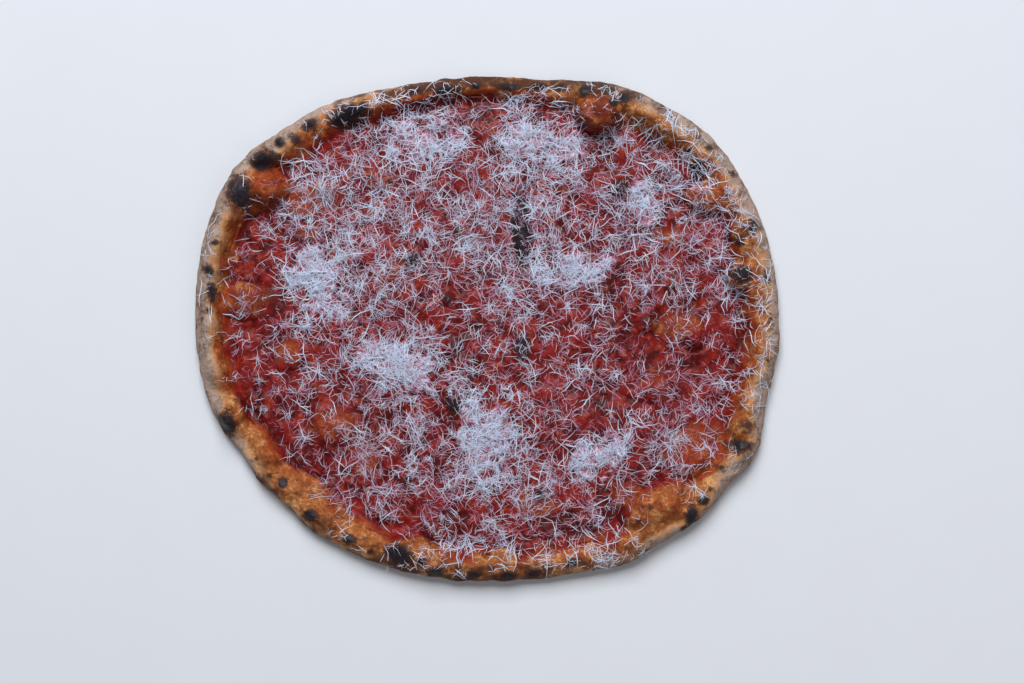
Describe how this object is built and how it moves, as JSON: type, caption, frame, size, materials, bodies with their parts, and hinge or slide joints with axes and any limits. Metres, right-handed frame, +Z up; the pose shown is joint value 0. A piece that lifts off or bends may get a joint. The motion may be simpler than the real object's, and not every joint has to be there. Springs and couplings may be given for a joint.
{
  "type": "whole pizza",
  "caption": "Round thin-crust pizza with a puffed, charred rim, tomato sauce and mounds of finely grated hard cheese.",
  "frame": {"origin": "middle of the outline on the underside, at the height of the surface it lies on", "axes": "+Z up out of the topped side; +X along the pizza's longest width; +Y towards the side with the narrowest rim"},
  "size_m": [0.3564, 0.308, 0.023],
  "materials": {
    "crust": "baked dough, matte, pale and floury outside, golden on the crest, with charred blisters",
    "sauce": "cooked tomato sauce, slightly moist",
    "cheese": "finely grated hard cheese, soft sheen"
  },
  "bodies": {
    "root": {"crust": "crust", "tomato_sauce": "sauce", "cheese_mound_1": "cheese", "cheese_mound_2": "cheese", "cheese_mound_3": "cheese", "cheese_mound_4": "cheese", "cheese_mound_5": "cheese", "cheese_mound_6": "cheese", "cheese_mound_7": "cheese", "cheese_mound_8": "cheese"}
  },
  "joints": []
}
